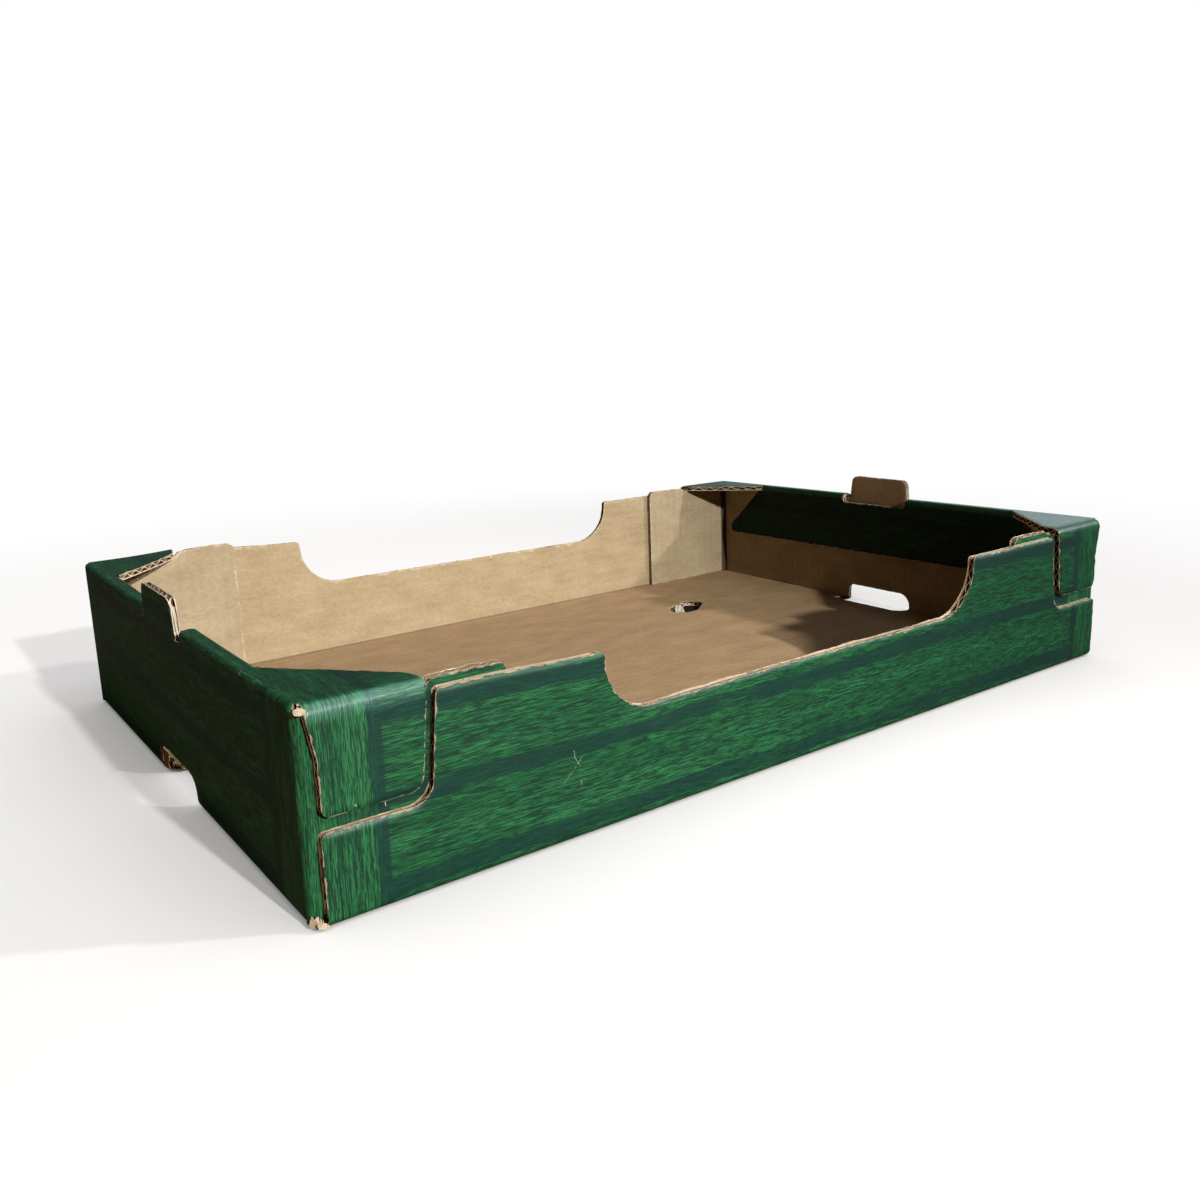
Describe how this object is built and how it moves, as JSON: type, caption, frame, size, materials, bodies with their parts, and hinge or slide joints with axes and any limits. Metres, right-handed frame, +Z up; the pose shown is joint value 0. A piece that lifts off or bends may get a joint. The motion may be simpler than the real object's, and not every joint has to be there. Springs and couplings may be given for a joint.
{
  "type": "cardboard tray box",
  "caption": "Open stacking produce tray folded and glued from one sheet of corrugated board, with dipped long sides, corner platforms and a stacking tab at each end.",
  "frame": {"origin": "middle of the underside, at floor level", "axes": "+X along the tray from its left end to its right end, +Y from the front long side to the back one, +Z up"},
  "size_m": [0.6, 0.4, 0.1135],
  "materials": {
    "board": "corrugated board, dark green wood-grain print outside and bare brown kraft inside"
  },
  "bodies": {
    "root": {"tray": "board"}
  },
  "joints": []
}
